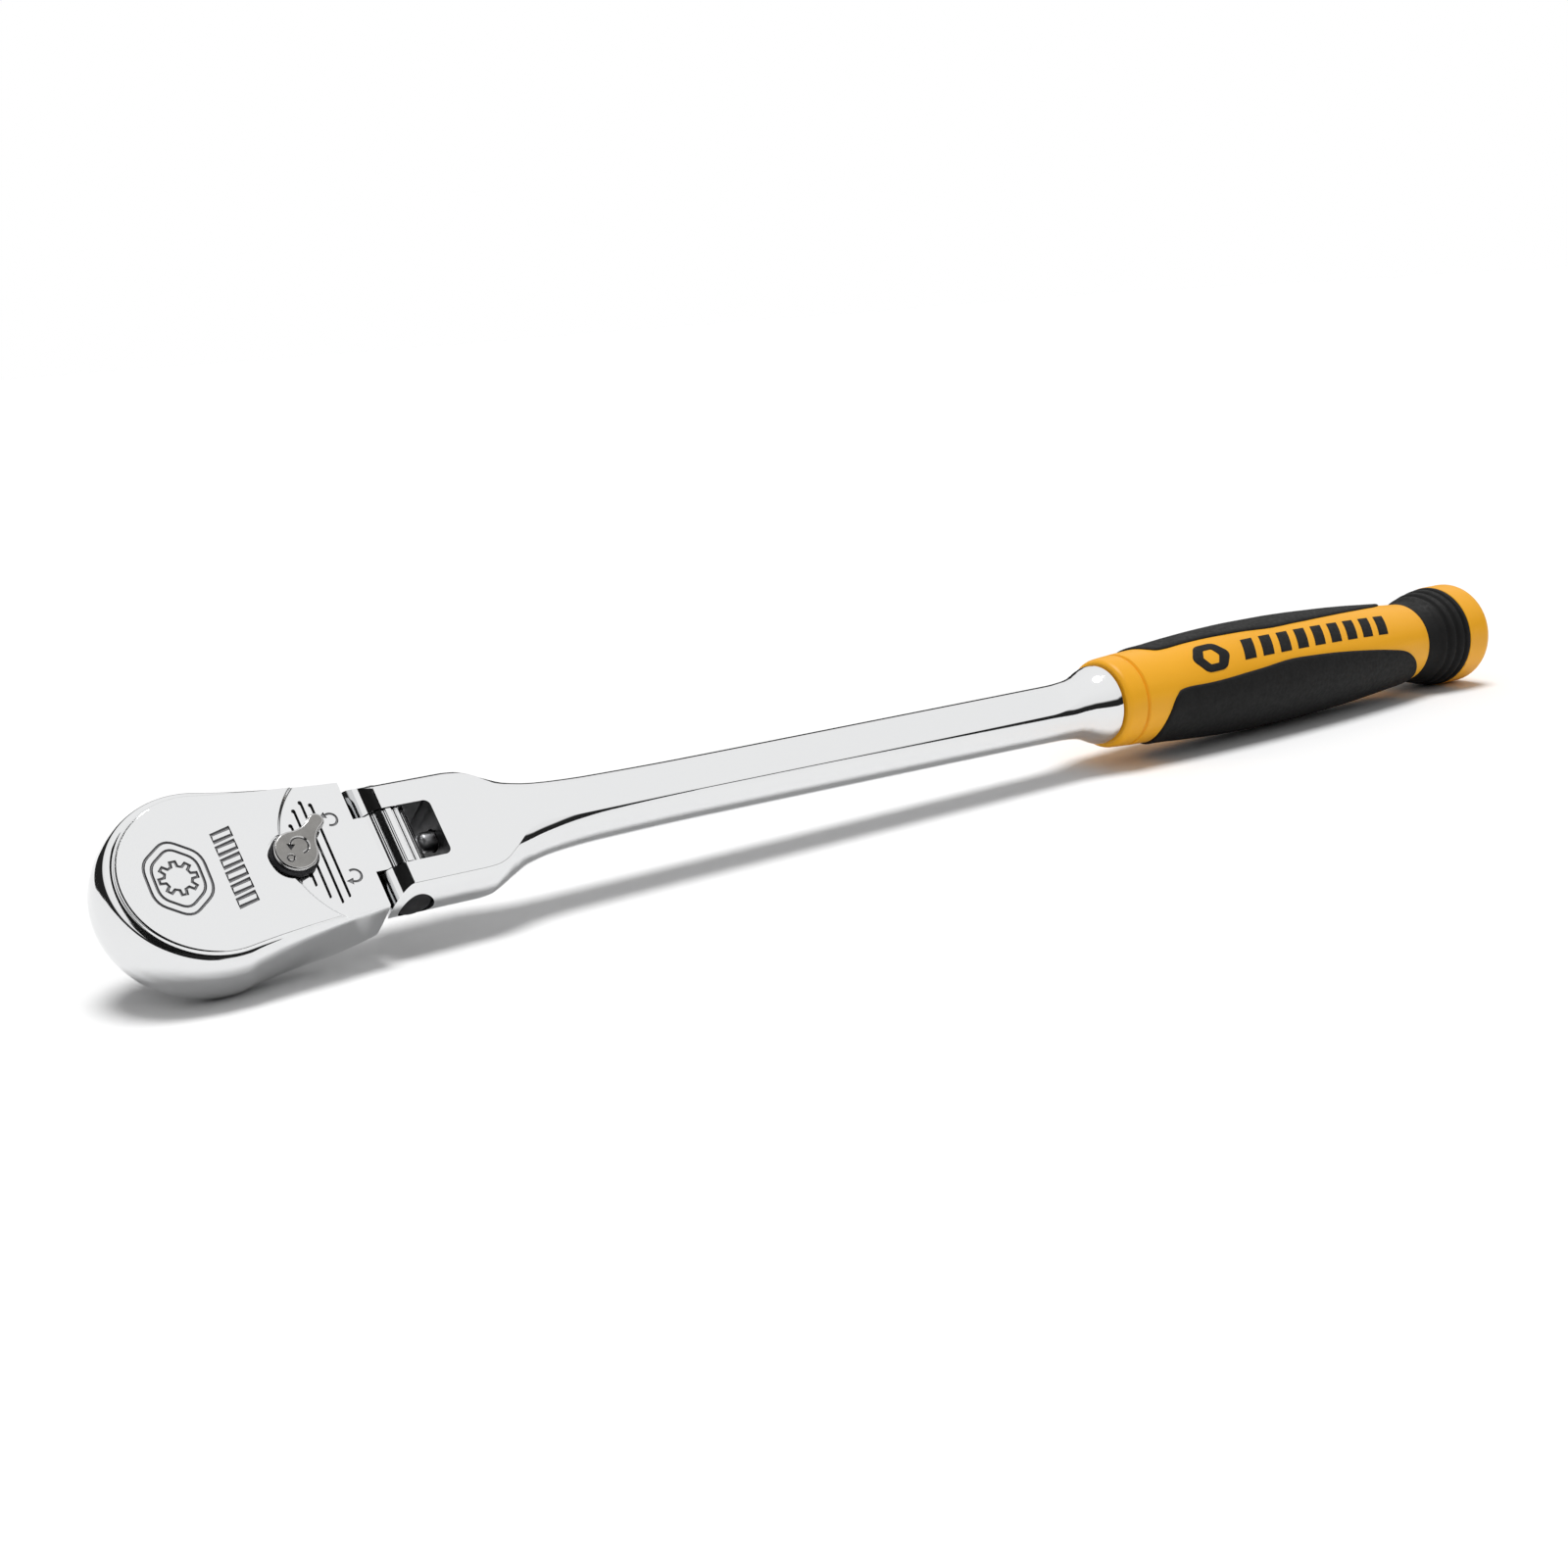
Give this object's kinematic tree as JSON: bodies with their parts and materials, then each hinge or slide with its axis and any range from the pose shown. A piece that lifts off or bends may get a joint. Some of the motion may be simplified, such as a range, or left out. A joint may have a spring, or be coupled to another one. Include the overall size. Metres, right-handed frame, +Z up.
{
  "type": "flex-head ratchet wrench",
  "caption": "Long flex-head ratchet wrench: teardrop head with square drive and reversing lever, hinged to a slim chrome bar with a two-material grip.",
  "frame": {"origin": "centre of the drive square's end face", "axes": "+Z up along the drive axis to the lever side, +X towards the handle, which is straight in line with the head at rest"},
  "size_m": [0.3376, 0.034, 0.0323],
  "materials": {
    "chrome": "full mirror polish over the forged head, yoke, bar and ferrule",
    "cover_steel": "satin ground plate",
    "drive_steel": "hardened steel, satin grey",
    "spring_steel": "bright drawn wire and hardened balls and plungers",
    "lever_steel": "satin blasted top face with a polished edge",
    "black_oxide": "black oxide, slightly rough",
    "orange_plastic": "moulded, fine satin texture, warm yellow-orange",
    "black_rubber": "matte soft-touch elastomer with a very fine grain"
  },
  "bodies": {
    "handle": {"handle_forging": "chrome", "flex_pin": "black_oxide", "flex_plunger": "drive_steel", "flex_spring": "spring_steel", "grip_sleeve": "orange_plastic", "grip_pad_left": "black_rubber", "grip_pad_right": "black_rubber", "grip_neck_ring": "black_rubber", "end_cap": "orange_plastic"},
    "head": {"head_housing": "chrome", "cover_plate": "cover_steel", "cover_retaining_ring": "spring_steel", "gear_washer": "spring_steel"},
    "drive": {"drive_gear": "drive_steel", "detent_spring": "spring_steel"},
    "ball": {"detent_ball": "spring_steel"},
    "lever": {"reverse_lever": "lever_steel", "lever_seal_ring": "black_rubber", "upper_plunger_spring": "spring_steel", "lower_plunger_spring": "spring_steel"},
    "pawl_upper": {"upper_pawl": "drive_steel"},
    "pawl_lower": {"lower_pawl": "drive_steel"},
    "plunger_upper": {"upper_pawl_plunger": "spring_steel"},
    "plunger_lower": {"lower_pawl_plunger": "spring_steel"}
  },
  "joints": [
    {"name": "flex_hinge", "type": "hinge", "parent": "handle", "child": "head", "pos_m": [0.0332, 0, 0.0204], "axis": [0, 1, 0], "range_deg": [-90, 90]},
    {"name": "drive_turn", "type": "hinge", "parent": "head", "child": "drive", "pos_m": [0, 0, 0], "axis": [0, 0, 1], "continuous": true},
    {"name": "ball_press", "type": "slide", "parent": "drive", "child": "ball", "axis": [0, -1, 0], "range_m": [-0.00085, 0], "stiffness_N_per_m": 1500, "springref_m": 0.001, "deforming": ["detent_spring"]},
    {"name": "lever_flip", "type": "hinge", "parent": "head", "child": "lever", "pos_m": [0.0146, 0, 0.026], "axis": [0, 0, 1], "range_deg": [-86, 0]},
    {"name": "upper_pawl_rock", "type": "hinge", "parent": "head", "child": "pawl_upper", "pos_m": [0.0104, 0, 0.0204], "axis": [0, 0, 1], "range_deg": [0, 9.61]},
    {"name": "lower_pawl_rock", "type": "hinge", "parent": "head", "child": "pawl_lower", "pos_m": [0.0104, 0, 0.0159], "axis": [0, 0, 1], "range_deg": [0, 1.01]},
    {"name": "upper_plunger_press", "type": "slide", "parent": "lever", "child": "plunger_upper", "axis": [-0.7373, -0.6756, 0], "range_m": [-0.0007, 0], "stiffness_N_per_m": 500, "springref_m": 0.0015, "deforming": ["upper_plunger_spring"]},
    {"name": "lower_plunger_press", "type": "slide", "parent": "lever", "child": "plunger_lower", "axis": [-0.7373, -0.6756, 0], "range_m": [-0.0007, 0], "stiffness_N_per_m": 500, "springref_m": 0.0015, "deforming": ["lower_plunger_spring"]}
  ],
  "couplings": [
    {"joint": "upper_pawl_rock", "follows": "lever_flip", "ratio": -0.11163},
    {"joint": "lower_pawl_rock", "follows": "lever_flip", "ratio": -0.011628}
  ]
}
